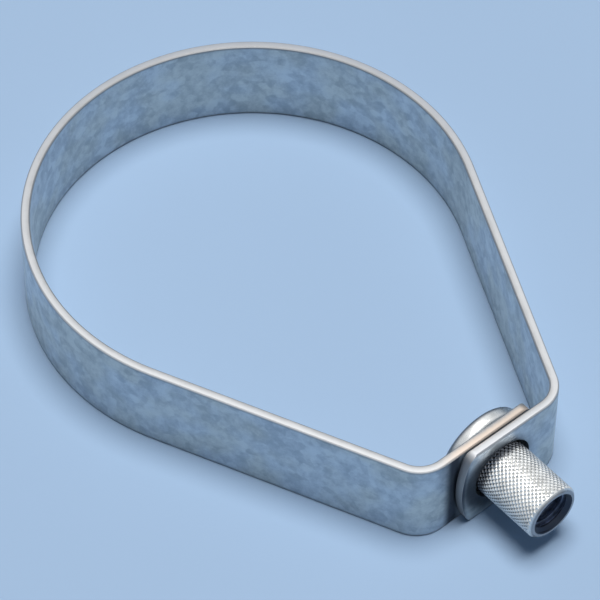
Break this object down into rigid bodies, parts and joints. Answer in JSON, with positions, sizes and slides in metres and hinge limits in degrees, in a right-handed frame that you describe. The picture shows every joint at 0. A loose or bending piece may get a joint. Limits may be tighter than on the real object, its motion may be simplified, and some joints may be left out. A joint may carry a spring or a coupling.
{
  "type": "teardrop pipe hanger",
  "caption": "Teardrop-shaped steel strap that hangs a pipe from a threaded rod, with a flanged, knurled nut that swivels in its overlapping tabs.",
  "frame": {"origin": "where the pipe's axis crosses the hanging rod's axis, at the middle of the strip's width", "axes": "+Z along the pipe's axis, as the hanger lies on the edge of its strip in the picture; +X along the hanging rod, from the pipe's centre out through the nut, which points up when the hanger is in use"},
  "size_m": [0.1369, 0.0938, 0.0206],
  "materials": {
    "galvanised_strip": "hot-dip galvanised sheet, dull and mottled, with brighter slit edges",
    "zinc_plated_nut": "bright zinc plate, fine diamond knurl"
  },
  "bodies": {
    "band": {"band": "galvanised_strip"},
    "nut": {"swivel_nut": "zinc_plated_nut"}
  },
  "joints": [
    {"name": "nut_swivel", "type": "hinge", "parent": "band", "child": "nut", "pos_m": [0.0734, 0, 0], "axis": [1, 0, 0], "continuous": true}
  ]
}
